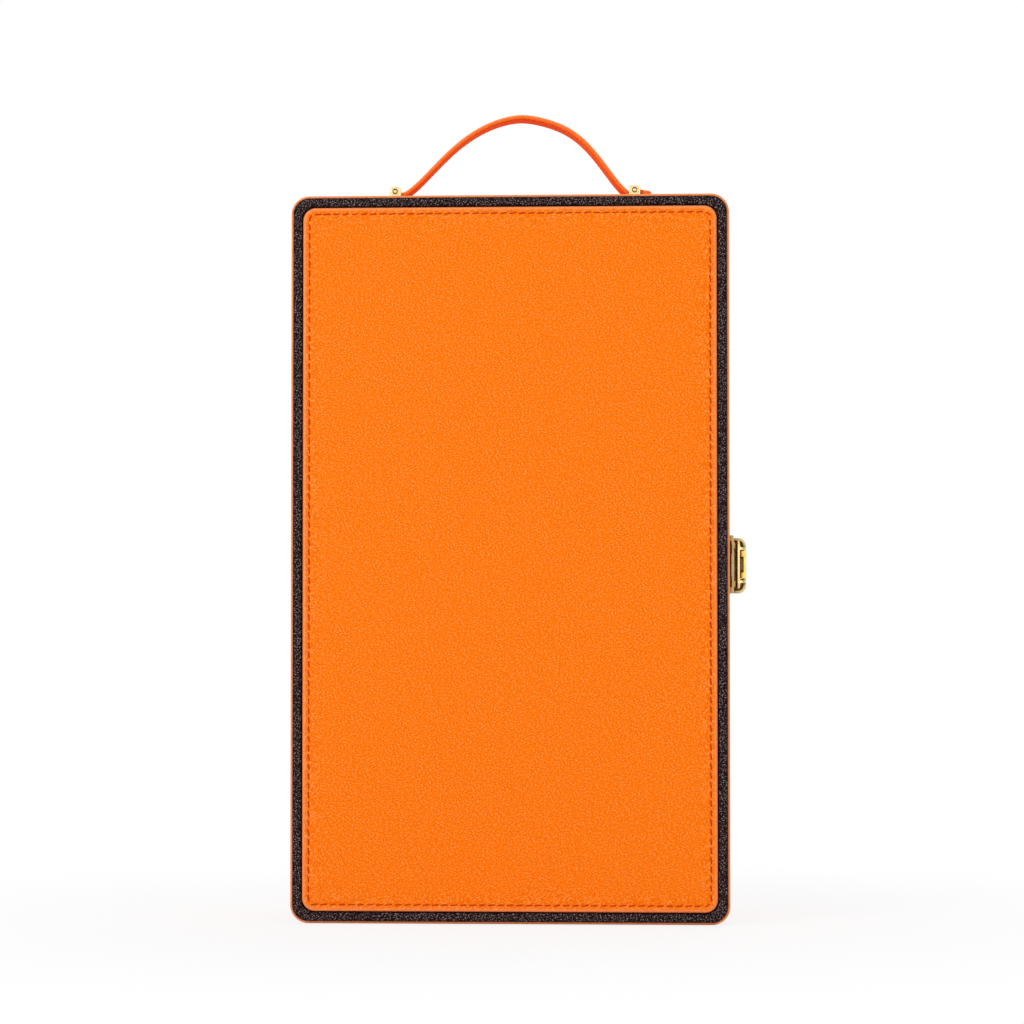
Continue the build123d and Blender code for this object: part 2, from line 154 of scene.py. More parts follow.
def ringSolid(rings, turns=10, along=(84, 50), closed=False, capped=True, centre=(0.0, middleZ)):
    # Surface through a stack of rounded rectangles (width, height, corner, y), each of which may
    # add how far it is raised. When capped, the first and last loops close onto their own middle
    # lines. When closed, the last joins the first
    loops, ends = [], []
    for width, height, corner, y, *raised in rings:
        loop = roundedLoop(width, height, corner, turns, along)
        middle = np.array([centre[0], centre[1] + sum(raised)])
        half = (np.array([width, height]) - min(width, height)) / 2
        flat = middle + np.clip(loop, -half, half)
        for line, kept in ((loop + middle, loops), (flat, ends)):
            kept.append(np.stack([line[:, 0], np.full(len(line), y), line[:, 1]], 1))
    if capped:
        loops = [ends[0], *loops, ends[-1]]
    points = np.stack(loops)
    faces = gridFaces(len(points), points.shape[1], closeRows=closed, closeColumns=True)
    return points, faces.tolist()


sewing = {
    "sides": 6,
    "endDip": 0.22,         # how far the ends lie below the leather
    "lengthSpread": 0.05,   # unevenness of hand-guided stitches
    "leanSpread": 0.04,
    "heightSpread": 0.02,
    "widened": 1.12,        # the thread is pressed a little flat
    "flattened": 0.9,
}


def threadStitches(place, way, up, length, thickness, slant=0.12, loft=0.16):
    # Rows of single stitches, one at every place. Each thread stands loft - (loft + endDip)
    # (2 share)^4 high, so that its middle arches out of the leather and its ends dip in
    side = np.cross(up, way)
    count = len(place)
    share = np.array([-0.5, -0.44, -0.3, -0.1, 0.1, 0.3, 0.44, 0.5])
    girth = np.array([0.25, 0.72, 0.96, 1.0, 1.0, 0.96, 0.72, 0.25])
    turn = np.radians(np.arange(sewing["sides"]) * 360.0 / sewing["sides"])
    jitter = 1 + sewing["lengthSpread"] * random.standard_normal(count)
    lean = slant + sewing["leanSpread"] * random.standard_normal(count)
    uneven = sewing["heightSpread"] * random.standard_normal((count, 1))
    along = share[None, :] * length * jitter[:, None]
    height = loft - (loft + sewing["endDip"]) * (2 * share[None, :]) ** 4 + uneven
    radius = thickness / 2 * girth
    a = along[:, :, None] + 0 * turn
    b = along[:, :, None] * lean[:, None, None]
    b = b + radius[None, :, None] * np.cos(turn) * sewing["widened"]
    c = height[:, :, None] + radius[None, :, None] * np.sin(turn) * sewing["flattened"]
    points = (
        place[:, None, None, :]
        + a[..., None] * way[:, None, None, :]
        + b[..., None] * side[:, None, None, :]
        + c[..., None] * up[:, None, None, :]
    )
    rows, sides = len(share), len(turn)
    first = rows * sides * np.arange(count)[:, None]
    quads = gridFaces(rows, sides, closeColumns=True)
    faces = (quads[None] + first[:, :, None]).reshape(-1, 4).tolist()
    faces += (first + np.arange(sides)[::-1]).tolist()
    faces += (first + (rows - 1) * sides + np.arange(sides)).tolist()
    sunk = smoothStep((np.abs(share) - 0.2) / 0.24)     # painted shade where the thread goes into its holes, from 0.2 to 0.44 along each half
    return points, faces, np.tile(np.repeat(sunk, sides), count)


def smoothStep(t):
    # From 0 to 1 with level ends: 3 t^2 - 2 t^3
    t = np.clip(t, 0, 1)
    return t * t * (3 - 2 * t)


def linear(red, green, blue):
    # A screen colour, 0 to 255, as the shader's linear colour
    srgb = np.array([red, green, blue]) / 255
    value = np.where(srgb <= 0.04045, srgb / 12.92, ((srgb + 0.055) / 1.055) ** 2.4)
    return (*value.tolist(), 1.0)


def addNode(tree, kind, *joined, **values):
    # A shader node with plain values on some sockets and (output, socket) pairs joined to others
    node = tree.nodes.new("ShaderNode" + kind)
    for name, value in values.items():
        node.inputs[name.replace("_", " ")].default_value = value
    for output, socket in joined:
        tree.links.new(output, node.inputs[socket])
    return node


def mathNode(tree, operation, *terms):
    # One sum of terms: numbers are set on the node, outputs are joined to it
    node = addNode(tree, "Math")
    node.operation = operation
    for n, term in enumerate(terms):
        if isinstance(term, float):
            node.inputs[n].default_value = term
        else:
            tree.links.new(term, node.inputs[n])
    return node.outputs[0]


def spanNode(tree, value, low, high, toLow=0.0, toHigh=1.0):
    # Smooth step from toLow to toHigh while the value goes from low to high
    limits = {"From_Min": low, "From_Max": high, "To_Min": toLow, "To_Max": toHigh}
    node = addNode(tree, "MapRange", (value, "Value"), **limits)
    node.interpolation_type = "SMOOTHSTEP"
    return node.outputs["Result"]


class Finish:
    # One procedural material, built up node by node on the piece's own coordinates
    def __init__(self, name):
        self.material = bpy.data.materials.new(name)
        self.material.use_nodes = True
        self.tree = self.material.node_tree
        self.shader = self.tree.nodes["Principled BSDF"]
        self.place = self.add("TexCoord").outputs["Object"]

    def add(self, kind, *joined, **values):
        return addNode(self.tree, kind, *joined, **values)

    def set(self, **values):
        for name, value in values.items():
            self.shader.inputs[name.replace("_", " ")].default_value = value

    def feed(self, socket, output):
        self.tree.links.new(output, self.shader.inputs[socket])

    def stretched(self, scale):
        # Coordinates scaled along each axis: below 1, marks are drawn out that way
        return self.add("Mapping", (self.place, "Vector"), Scale=scale).outputs["Vector"]

    def slanted(self, degrees, drawnOut):
        # Coordinates turned about the depth and then drawn out along the turned height
        turn = (0.0, math.radians(degrees), 0.0)
        scale = (1.0, 1.0, drawnOut)
        node = self.add("Mapping", (self.place, "Vector"), Rotation=turn, Scale=scale)
        node.vector_type = "TEXTURE"
        return node.outputs["Vector"]

    def noise(self, cell, detail, rough, place=None):
        # Soft noise from 0 to 1 with cells of a width in millimetres
        values = {"Scale": 1000.0 / cell, "Detail": detail, "Roughness": rough}
        return self.add("TexNoise", (place or self.place, "Vector"), **values).outputs["Fac"]

    def cells(self, cell, place):
        # Distance from the middle of the nearest cell
        node = self.add("TexVoronoi", (place, "Vector"), Scale=1000.0 / cell)
        return node.outputs["Distance"]

    def combined(self, operation, *terms):
        return mathNode(self.tree, operation, *terms)

    def span(self, *limits):
        return spanNode(self.tree, *limits)

    def mix(self, share, first, second):
        # first + share (second - first), for colours or outputs
        node = self.add("Mix")
        node.data_type = "RGBA"
        sockets = [s for s in node.inputs if s.enabled]
        for socket, value in zip(sockets, (share, first, second)):
            if isinstance(value, tuple):
                socket.default_value = value
            else:
                self.tree.links.new(value, socket)
        return [s for s in node.outputs if s.enabled][0]

    def attribute(self, name):
        node = self.add("Attribute")
        node.attribute_name = name
        return node.outputs["Fac"]

    def bump(self, height, depth, strength, rounded=None):
        # The surface tilts as if height, from 0 to 1, stood out by a depth in millimetres
        node = self.add("Bump", (height, "Height"), Distance=depth * 0.001, Strength=strength)
        if rounded:
            self.tree.links.new(rounded, node.inputs["Normal"])
        self.feed("Normal", node.outputs["Normal"])

    def roundedEdges(self, radius):
        # Normals as if sharp edges were rounded to a radius in millimetres
        node = self.add("Bevel", Radius=radius * 0.001)
        node.samples = 4
        return node.outputs["Normal"]

    def openness(self, reach):
        # 1 where a surface lies open, down to 0 deep between neighbouring surfaces
        node = self.add("AmbientOcclusion", Distance=reach * 0.001)
        node.samples = 6
        return node.outputs["AO"]


def grainedLeather(name, look):
    # Even, fine ridges drawn out along one slanting way, over shallow pebbles. Painted shade
    # darkens the dips and painted glints lighten the ridge tops; rubbed edges are paler from wear
    # and a painted highlight, and painted shade darkens the seams
    finish = Finish(name)
    ridge, pebble, soft = look["ridge"], look["pebble"], look["softness"]
    slanted = finish.slanted(look["slant"], look["drawnOut"])
    ridges = finish.noise(ridge, 0.0, 0.5, slanted)
    pebbles = finish.cells(pebble, slanted)
    dips, tops = look["dipsBelow"], look["topsAbove"]
    # Painted shade in the dips of the grain
    creased = finish.span(ridges, dips, dips - soft, 0.0, look["creased"])
    shade = finish.mix(creased, linear(*look["base"]), linear(*look["crease"]))
    # Painted glints: the tops of the ridges take the lighter colour, standing in for highlights
    shine = finish.span(ridges, tops, tops + soft, 0.0, look["paintedGlint"])
    # Painted highlight: on the rim the glints show mostly along the crest of the band
    if look["shinesInMiddle"]:
        shine = finish.combined("MULTIPLY", shine, finish.attribute("middle"))
    shade = finish.mix(shine, shade, linear(*look["light"]))
    # Paler rubbed edges: partly wear, partly a painted highlight where the edges catch the light
    wornAndLitEdge = finish.combined("MULTIPLY", finish.attribute("wear"), look["wearShows"])
    shade = finish.mix(wornAndLitEdge, shade, linear(*look["wornAndLitEdge"]))
    # Painted shade near seams and in recesses, where neighbouring surfaces lie close
    seamShade = finish.span(finish.openness(look["seamReach"]), 0.3, 0.7, look["seamShadeShows"], 0.0)
    finish.feed("Base Color", finish.mix(seamShade, shade, linear(*look["seam"])))
    height = finish.combined("MULTIPLY_ADD", pebbles, -0.5, ridges)
    finish.bump(height, look["depth"], 0.8)
    matt, glossy = look["gloss"] + 0.08, look["gloss"] - 0.08
    finish.feed("Roughness", finish.span(ridges, 0.35, 0.65, matt, glossy))
    finish.set(Specular_IOR_Level=look["specular"])
    return finish.material


def plainCloth(name, base, dark, cell, depth, sheen):
    # Short-pile cloth or flocking: two scales of noise, matt, with a soft sheen at grazing angles
    finish = Finish(name)
    pile = finish.noise(cell, 4.0, 0.7)
    brushed = finish.noise(cell * 40, 2.0, 0.5)
    shade = finish.mix(finish.span(pile, 0.35, 0.7), linear(*dark), linear(*base))
    shade = finish.mix(finish.span(brushed, 0.35, 0.7, 0.0, 0.35), shade, linear(*dark))
    finish.feed("Base Color", shade)
    finish.bump(pile, depth, 0.8)
    finish.set(Roughness=0.95, Specular_IOR_Level=0.1, Sheen_Weight=sheen, Sheen_Roughness=0.45)
    return finish.material


def polishedBrass(name, look):
    # Gold-plated brass: fine polishing marks in the roughness, patches of painted dark reflection,
    # edges just broken, a darker tint in grazing reflections, and painted shade in the recesses
    finish = Finish(name)
    base, edgeTintAndShade, recessShade = (linear(*look[shade]) for shade in ("base", "edgeTintAndShade", "recessShade"))
    marks = finish.noise(look["mark"], 2.0, 0.6, finish.stretched((1.0, 1.0, 0.12)))
    # Patches of painted dark reflection: noise mixes the base towards the darker tint
    reflectionPatches = finish.noise(look["reflectionPatch"], 2.5, 0.55)
    shade = finish.mix(finish.span(reflectionPatches, 0.4, 0.75, 0.0, look["reflectionPatchShare"]), base, edgeTintAndShade)
    # Painted shade: the darker tint where neighbouring surfaces are near, near black in the deepest
    # recesses
    openness = finish.openness(look["recessReach"])
    shade = finish.mix(finish.span(openness, 0.4, 0.95, 0.9, 0.0), shade, edgeTintAndShade)
    finish.feed("Base Color", finish.mix(finish.span(openness, 0.15, 0.72, 1.0, 0.0), shade, recessShade))
    finish.feed("Roughness", finish.span(marks, 0.3, 0.7, *look["roughness"]))
    finish.bump(marks, look["markDepth"], 0.5, finish.roundedEdges(look["brokenEdge"]))
    finish.set(Metallic=1.0, Specular_Tint=edgeTintAndShade)
    return finish.material


def twistedThread(name, base, dark):
    # Waxed thread: plies seen as slanting bands across the stitch, and painted shade where it sinks
    # in
    finish = Finish(name)
    plies = finish.noise(0.5, 2.0, 0.6, finish.stretched((1.0, 1.0, 0.45)))
    shade = finish.mix(finish.span(plies, 0.35, 0.65, 0.5, 0.0), linear(*base), linear(*dark))
    # Painted shade at the ends, where the thread goes into its holes
    finish.feed("Base Color", finish.mix(finish.attribute("sunk"), shade, linear(*dark)))
    finish.bump(plies, 0.05, 0.7)
    finish.set(Roughness=0.6, Specular_IOR_Level=0.12)
    return finish.material


def sawnBoard(name, base, dark):
    # Fibreboard: short chips lying in the plane, with a dusty surface
    finish = Finish(name)
    chips = finish.noise(1.6, 5.0, 0.75, finish.stretched((1.0, 0.5, 0.35)))
    shade = finish.mix(finish.span(chips, 0.3, 0.75), linear(*dark), linear(*base))
    finish.feed("Base Color", shade)
    finish.bump(chips, 0.12, 0.6)
    finish.set(Roughness=0.85, Specular_IOR_Level=0.1)
    return finish.material


caseGrain = {
    "base": (252, 120, 2),
    # painted shade colour in the dips of the grain
    "crease": (226, 88, 2),
    # painted glint colour on the tops of the ridges
    "light": (255, 190, 112),
    # paler colour of the edges, for wear and a painted highlight
    "wornAndLitEdge": (246, 176, 128),
    "wearShows": 0.4,
    # painted shade colour near seams
    "seam": (132, 40, 8),
    "seamReach": 1.4,       # how far from a seam the painted shade reaches
    "seamShadeShows": 0.8,
    "ridge": 0.6,
    "pebble": 0.78,
    "slant": 66.0,          # degrees from upright
    "drawnOut": 1.35,
    "dipsBelow": 0.5,       # height of the grain, 0 to 1, where dips begin
    "creased": 0.5,
    "topsAbove": 0.54,
    "paintedGlint": 0.32,
    "softness": 0.2,
    "depth": 0.12,
    "gloss": 0.5,           # middle of the roughness
    "specular": 0.06,
    "shinesInMiddle": False,
}
# The rim's crease, light and seam colours are painted shade and painted glints, as for the case
rimGrain = caseGrain | {
    "base": (33, 13, 14),
    "crease": (6, 1, 2),
    "light": (216, 194, 192),
    "seam": (20, 2, 1),
    "ridge": 0.52,
    "pebble": 0.676,
    "drawnOut": 1.1,
    "creased": 1.0,
    "topsAbove": 0.56,
    "paintedGlint": 0.45,
    "shinesInMiddle": True,
    "depth": 0.24,
}
strapGrain = caseGrain | {
    "base": (254, 122, 44),
    "crease": (240, 100, 24),
    "light": (255, 178, 116),
    # on the strap this paler colour is a painted highlight along the upper corners
    "wornAndLitEdge": (255, 214, 176),
    "seam": (170, 50, 12),
    "paintedGlint": 0.2,
    "depth": 0.04,
    "gloss": 0.85,
}
gilding = {
    "base": (252, 227, 166),
    # edge tint of grazing reflections, also the painted dark reflection and shade in shallow
    # recesses
    "edgeTintAndShade": (150, 102, 42),
    # painted shade colour in the deepest recesses
    "recessShade": (26, 14, 6),
    "mark": 0.5,
    "markDepth": 0.02,
    # cell of the painted dark reflection patches
    "reflectionPatch": 5.0,
    "reflectionPatchShare": 0.22,
    "recessReach": 6.0,
    "roughness": (0.12, 0.28),
    "brokenEdge": 0.18,
}
orangeLeather = grainedLeather("orangeLeather", caseGrain)
blackLeather = grainedLeather("blackLeather", rimGrain)
strapLeather = grainedLeather("strapLeather", strapGrain)
orangeThread = twistedThread("orangeThread", (216, 66, 4), (158, 20, 0))
gildedBrass = polishedBrass("gildedBrass", gilding)
suedeLining = plainCloth("suedeLining", (70, 64, 62), (46, 42, 41), 0.5, 0.08, 0.2)
flockedFoam = plainCloth("flockedFoam", (62, 57, 56), (40, 37, 37), 0.35, 0.14, 0.25)
paddingFoam = plainCloth("paddingFoam", (226, 220, 206), (196, 188, 172), 0.9, 0.2, 0.0)
fibreBoard = sawnBoard("fibreBoard", (172, 142, 104), (128, 100, 68))
print("materials made")


# Padded panel and grained rim on the outer face of each half
panel = {
    "inset": 5.75,
    "corner": 6.0,
    "edgeRound": 1.35,
    "stitchInset": 3.1,
    "stitchDip": 0.3,
    "dipWidth": 0.75,
    "crown": 0.28,
    "crownReach": 14.0,     # distance from the edge where the swell is full
    "sideLoops": (2.6, 2.1),    # depths of two loops down the side
    "unevenness": 0.035,
    "wearAndHighlightAt": 0.7,          # distance from the edge where the wear and the painted highlight are strongest
    "stitchPitch": 4.35,
    "stitchLength": 3.7,
    "threadThickness": 0.52,
    "threadSink": 0.02,
}
rim = {"inset": 1.0, "width": 4.6, "height": 1.6, "innerCorner": 6.15}


def panelDrop(d):
    # How far the panel lies below its crown at a distance d from its edge: a quarter-ellipse at the
    # edge, a soft dip along the stitches and a slow swell over the padding
    edge = panel["edgeRound"]
    rounding = edge - np.sqrt(np.clip(edge**2 - np.clip(edge - d, 0, edge) ** 2, 0, None))
    dip = panel["stitchDip"] * np.exp(-(((d - panel["stitchInset"]) / panel["dipWidth"]) ** 2))
    return rounding + dip + panel["crown"] * (1 - smoothStep(d / panel["crownReach"]))


def panelCover(name, half):
    # Loops at growing distances d from the edge, each panelDrop(d) deep. They crowd at the rounded
    # edge and along the stitches
    width = case["width"] - 2 * panel["inset"]
    height = case["height"] - 2 * panel["inset"]
    outer, inward = half["outer"], half["inward"]
    rings = [
        (width, height, panel["corner"], outer + inward * depth)
        for depth in (case["panelThickness"], *panel["sideLoops"])
    ]
    distances = np.concatenate(
        [
            panel["edgeRound"] * (1 - np.cos(np.radians([14, 30, 46, 62, 76, 90]))),
            [1.6, 2.0, 2.35, 2.6, 2.85, 3.1, 3.35, 3.6, 3.85, 4.2, 4.7, 5.4, 6.5, 8.2, 10.5],
            [14, 19, 26, 35, 46, 60, 76, 92],
        ]
    )
    for d in distances:
        corner = max(panel["corner"] - d, 0.4)
        rings.append((width - 2 * d, height - 2 * d, corner, outer + inward * panelDrop(d)))
    points, faces = ringSolid(rings, turns=12, along=(90, 54))
    # Hand-stretched leather is never dead flat: the face rises and falls a few hundredths
    x, z = points[..., 0], points[..., 2]
    face = smoothStep((np.abs(points[..., 1]) - abs(outer) + 1) / 0.7)
    wave = np.sin(x / 19 + 0.7) * np.sin(z / 27 + 0.4) + 0.6 * np.sin(x / 8.5 - z / 13)
    points[..., 1] += inward * panel["unevenness"] * wave * face
    # Paler near the rounded edge: edge wear and a painted highlight where the edge catches the
    # light
    wearAndHighlightAt = panel["wearAndHighlightAt"]
    edge = np.concatenate([[0, 0, 0.2, 0.5], np.exp(-((distances - wearAndHighlightAt) / wearAndHighlightAt) ** 2), [0]])
    wear = np.repeat(edge[:, None], points.shape[1], 1)
    piece = makePiece(
        name + "_panel_cover", points, faces, orangeLeather, "orange_leather",
        sharpAngle=60, wear=wear,
    )
    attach(piece, half["body"])
    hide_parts(name + "_panel_leather", name + "_panel_pad")


def panelStitches(name, half):
    # One row round the panel, in the bottom of the dip
    inset = 2 * (panel["inset"] + panel["stitchInset"])
    place, way = loopFrame(
        case["width"] - inset,
        case["height"] - inset,
        panel["corner"] - panel["stitchInset"],
        panel["stitchPitch"],
    )
    y = half["outer"] + half["inward"] * (panelDrop(panel["stitchInset"]) + panel["threadSink"])
    count = len(place)
    centres = np.stack([place[:, 0], np.full(count, y), place[:, 1] + middleZ], 1)
    ways = np.stack([way[:, 0], np.zeros(count), way[:, 1]], 1)
    up = np.tile([0.0, -half["inward"], 0.0], (count, 1))
    length, thickness = panel["stitchLength"], panel["threadThickness"]
    points, faces, sunk = threadStitches(centres, ways, up, length, thickness)
    piece = makePiece(
        name + "_panel_stitches", points, faces, orangeThread, "orange_leather", sunk=sunk
    )
    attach(piece, half["body"])


def rimBand(name, half):
    # The band's height across its width is a flattened arch: (1 - |2t - 1|^4) to the power 0.42
    t = (1 - np.cos(np.linspace(0, np.pi, 17))) / 2
    rise = rim["height"] * (1 - np.abs(2 * t - 1) ** 4) ** 0.42
    base = case["panelThickness"] - case["leather"]
    outer, inward = half["outer"], half["inward"]
    rings = []
    for share, lift in zip(t, rise):
        d = rim["inset"] + rim["width"] * share
        corner = case["corner"] - rim["inset"]
        corner += (rim["innerCorner"] - corner) * share
        size = (case["width"] - 2 * d, case["height"] - 2 * d, corner)
        rings.append((*size, outer + inward * (base - lift)))
    points, faces = ringSolid(rings, turns=12, along=(110, 66), closed=True, capped=False)
    # Share in which the painted glints show: most along the band's crest, as a painted highlight
    middle = np.repeat(np.sin(np.pi * t)[:, None] ** 0.7, points.shape[1], 1)
    piece = makePiece(
        name + "_rim_band", points, faces, blackLeather, "black_leather",
        sharpAngle=70, middle=middle,
    )
    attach(piece, half["body"])
    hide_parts(name + "_rim_leather")


def profileRings(profile):
    # Loops for a profile of (inset from the case's outline, y) pairs
    return [
        (case["width"] - 2 * d, case["height"] - 2 * d, max(case["corner"] - d, 0.35), y)
        for d, y in profile
    ]


def quarter(centreD, centreY, radius, start, end, steps=5):
    # Points on an arc in the (inset, y) plane, from one angle to another in degrees
    angle = np.radians(np.linspace(start, end, steps))
    return [(centreD + radius * math.cos(a), centreY + radius * math.sin(a)) for a in angle]


def sideWrap(name, half):
    # Leather over the walls: out from under the rim, round the front corner, along the side, and
    # turned in over the seam edge. It is one closed profile carried round the case's outline
    outer, inward = half["outer"], half["inward"]
    skin = case["leather"]
    face = outer + inward * (case["panelThickness"] - skin)
    seam = case["seam"] - inward * case["seamGap"] / 2
    under = rim["inset"] + rim["width"]
    soft = case["foldRadius"]
    reach = case["cavityInset"]
    profile = [(under, face), (under * 0.5, face)]
    profile += quarter(soft, face + inward * soft, soft, -90 * inward, -180 * inward)
    length = seam - face
    profile += [(0, face + length * share) for share in (0.15, 0.3, 0.45, 0.6, 0.75, 0.9)]
    profile += quarter(soft, seam - inward * soft, soft, 180 * inward, 90 * inward)
    profile += [(reach * 0.6, seam), (reach - 0.25, seam - inward * 0.05)]
    profile += [(reach, seam - inward * 0.3), (reach, seam - inward * skin)]
    profile += [(skin, seam - inward * skin)]
    profile += [(skin, face + inward * skin), (under, face + inward * skin)]
    points, faces = ringSolid(
        profileRings(profile), turns=14, along=(60, 36), closed=True, capped=False
    )
    # Paler round the front corner and the seam edge: edge wear and a painted highlight
    wear = np.zeros(points.shape[:2])
    wear[2:7] = 1.0         # round the front corner
    wear[13:18] = 0.3       # round the seam edge
    piece = makePiece(
        name + "_side_wrap", points, faces, orangeLeather, "orange_leather",
        sharpAngle=50, wear=wear,
    )
    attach(piece, half["body"])
    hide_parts(name + "_side_leather")


def liningTray(name, half):
    # Suede tray: flat floor, rounded foot, upright walls and a rolled top edge, closed underneath
    outer, inward = half["outer"], half["inward"]
    inset = case["cavityInset"]
    thin = case["liningThickness"]
    floor = outer + inward * (case["liningStart"] + thin)
    under = outer + inward * case["liningStart"]
    top = case["seam"] - inward * case["seamGap"] / 2
    w, h = case["width"] - 2 * inset, case["height"] - 2 * inset
    foot, corner = case["liningFoot"], case["liningCorner"]
    rolled = (              # for each loop over the top edge: inset from the first, corner, depth
        (0.0, corner - 0.3, 0.5),
        (0.3, corner - 0.3, 0.1),
        (thin, corner - 0.2, 0.0),
        (2 * thin - 0.3, corner - 0.1, 0.1),
        (2 * thin, corner, 0.5),
    )
    rings = [(w, h, corner - 0.3, under)]
    rings += [(w - less, h - less, tight, top - inward * deep) for less, tight, deep in rolled]
    for angle in np.radians([0, 25, 50, 70, 90]):
        away = 2 * thin + 2 * foot * (1 - math.cos(angle))
        y = floor + inward * foot * (1 - math.sin(angle))
        rings.append((w - away, h - away, corner + foot / 2, y))
    points, faces = ringSolid(rings, turns=6, along=(40, 24))
    piece = makePiece(name + "_lining_tray", points, faces, suedeLining, "lining", sharpAngle=50)
    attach(piece, half["body"])
    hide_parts(name + "_lining")


for name, half in halves.items():
    panelCover(name, half)
    panelStitches(name, half)
    rimBand(name, half)
    sideWrap(name, half)
    liningTray(name, half)
print("halves covered")


# Inside: collar, foam for two bottles. Outside: the spine
collar = {"proud": 4.0, "clearance": 0.3, "wall": 1.6, "lip": 0.75, "corner": 0.8}
spine = {
    "thickness": 0.7,
    "halfWidth": 16.0,
    "endMargin": 9.0,
    "corner": 2.5,
    "edgeSoft": 0.6,
    "crease": 0.16,
    "foldReach": 1.2,       # half the width of the fold
}
lined = {"width": 189.0, "bottom": 8.0, "top": 332.0, "floor": 45.4}
bottles = {"radius": 39.0, "neck": 17.0, "spacing": 92.0, "bodyLength": 200.0, "neckLength": 88.0}
foam = {
    "openFace": 0.2,        # y of the cradles' open face
    "lidFace": -22.0,       # y of the lid pads' open face
    "sideGap": 0.15,
    "floorGap": 0.1,
    "softEnd": 1.2,
    "sag": 0.15,
    "step": 1.1,            # between points of an outline
}


def seamCollar():
    # Cloth-covered card standing out of the back half: a closed profile with a rounded lip
    seam, reach = case["seam"], case["seam"] - collar["proud"]
    less, wall, lip = 2 * collar["clearance"], collar["wall"], collar["lip"]
    profile = [(0.0, 0.0), (0.0, seam + 0.3), (less, seam - 0.1)]
    for angle in np.radians(np.linspace(0, 180, 9)):
        away = less + wall * (1 - math.cos(angle))
        profile.append((away, reach + lip * (1 - math.sin(angle))))
    profile += [(less + 2 * wall, seam), (less + 2 * wall, 0.0)]
    w, h = lined["width"], lined["top"] - lined["bottom"]
    rings = [(w - away, h - away, collar["corner"], y) for away, y in profile]
    points, faces = ringSolid(rings, turns=6, along=(40, 24), closed=True, capped=False)
    piece = makePiece("seam_collar", points, faces, suedeLining, "lining", sharpAngle=50)
    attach(piece, "case_back")
    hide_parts("rear_collar")


def spineStrip():
    # One strip glued to both halves. Across it (y) the points crowd at the fold, along it (z) the
    # half width shortens by a quarter circle at each end, and its thickness tapers at every edge
    seam, half = case["seam"], spine["halfWidth"]
    inner = -case["width"] / 2
    t = np.linspace(-1, 1, 61)
    across = 0.25 * t + 0.75 * t**3
    edge = np.array([0, 0.15, 0.4, 0.8, 1.4, 2.0, 2.5])
    bottom, top = spine["endMargin"], case["height"] - spine["endMargin"]
    z = np.concatenate([bottom + edge, np.linspace(bottom + 8, top - 8, 50), top - edge[::-1]])
    toEnd = np.clip(np.minimum(z - bottom, top - z), 0, spine["corner"])
    short = spine["corner"] - np.sqrt(spine["corner"] ** 2 - (spine["corner"] - toEnd) ** 2)
    y = across[None, :] * (half - short[:, None])
    toSide = (half - short[:, None]) - np.abs(y)
    nearest = np.minimum(toSide, np.minimum(z - bottom, top - z)[:, None])
    swell = np.sqrt(np.clip(1 - (1 - np.clip(nearest / spine["edgeSoft"], 0, 1)) ** 2, 0, 1))
    crease = spine["crease"] * np.exp(-((y / 0.5) ** 2))
    outerX = inner - spine["thickness"] * swell + crease
    zz = np.broadcast_to(z[:, None], y.shape)
    outside = np.stack([outerX, y + seam, zz], -1)
    inside = np.stack([np.full(y.shape, inner), y + seam, zz], -1)
    rows, columns = y.shape
    points = np.concatenate([outside.reshape(-1, 3), inside.reshape(-1, 3)])
    faces = gridFaces(rows, columns)
    shift = rows * columns
    faces = faces.tolist() + (faces[:, ::-1] + shift).tolist()
    index = np.arange(shift).reshape(rows, columns)
    border = np.concatenate([index[0], index[1:, -1], index[-1, -2::-1], index[-2:0:-1, 0]])
    ahead = np.roll(border, -1)
    faces += np.stack([border, border + shift, ahead + shift, ahead], 1).tolist()
    piece = makePiece(
        "spine_strip", points, faces, orangeLeather, "orange_leather", sharpAngle=50
    )
    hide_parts("spine_leather_front", "spine_leather_rear")
    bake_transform(piece)


def softened(line, window=4):
    # A closed line resampled at an even step, then averaged over a short window, which rounds its
    # corners
    closed = np.concatenate([line, line[:1]])
    length = lengthsAlong(closed)
    count = int(length[-1] / foam["step"])
    even = placesAt(np.arange(count) * length[-1] / count, length, closed)
    spread = np.arange(-window, window + 1)
    weight = np.exp(-((spread / (window * 0.6)) ** 2))
    return sum(np.roll(even, k, 0) * w for k, w in zip(spread, weight)) / weight.sum()


def channelOutline(front, back, radius):
    # Outline of a foam block in plan, with two round channels let into its open side. Their middle
    # lines lie at a depth of 0. Without a radius the open side is straight
    x = lined["width"] / 2 - foam["sideGap"]
    sign = 1 if back > front else -1
    line = [(-x, back), (-x, front)]
    for centre in (-bottles["spacing"] / 2, bottles["spacing"] / 2) if radius else ():
        reach = math.acos(min(1.0, abs(front) / radius))
        for angle in np.linspace(-reach, reach, 60):
            line.append((centre + radius * math.sin(angle), sign * radius * math.cos(angle)))
    line += [(x, front), (x, back)]
    return np.array(line)


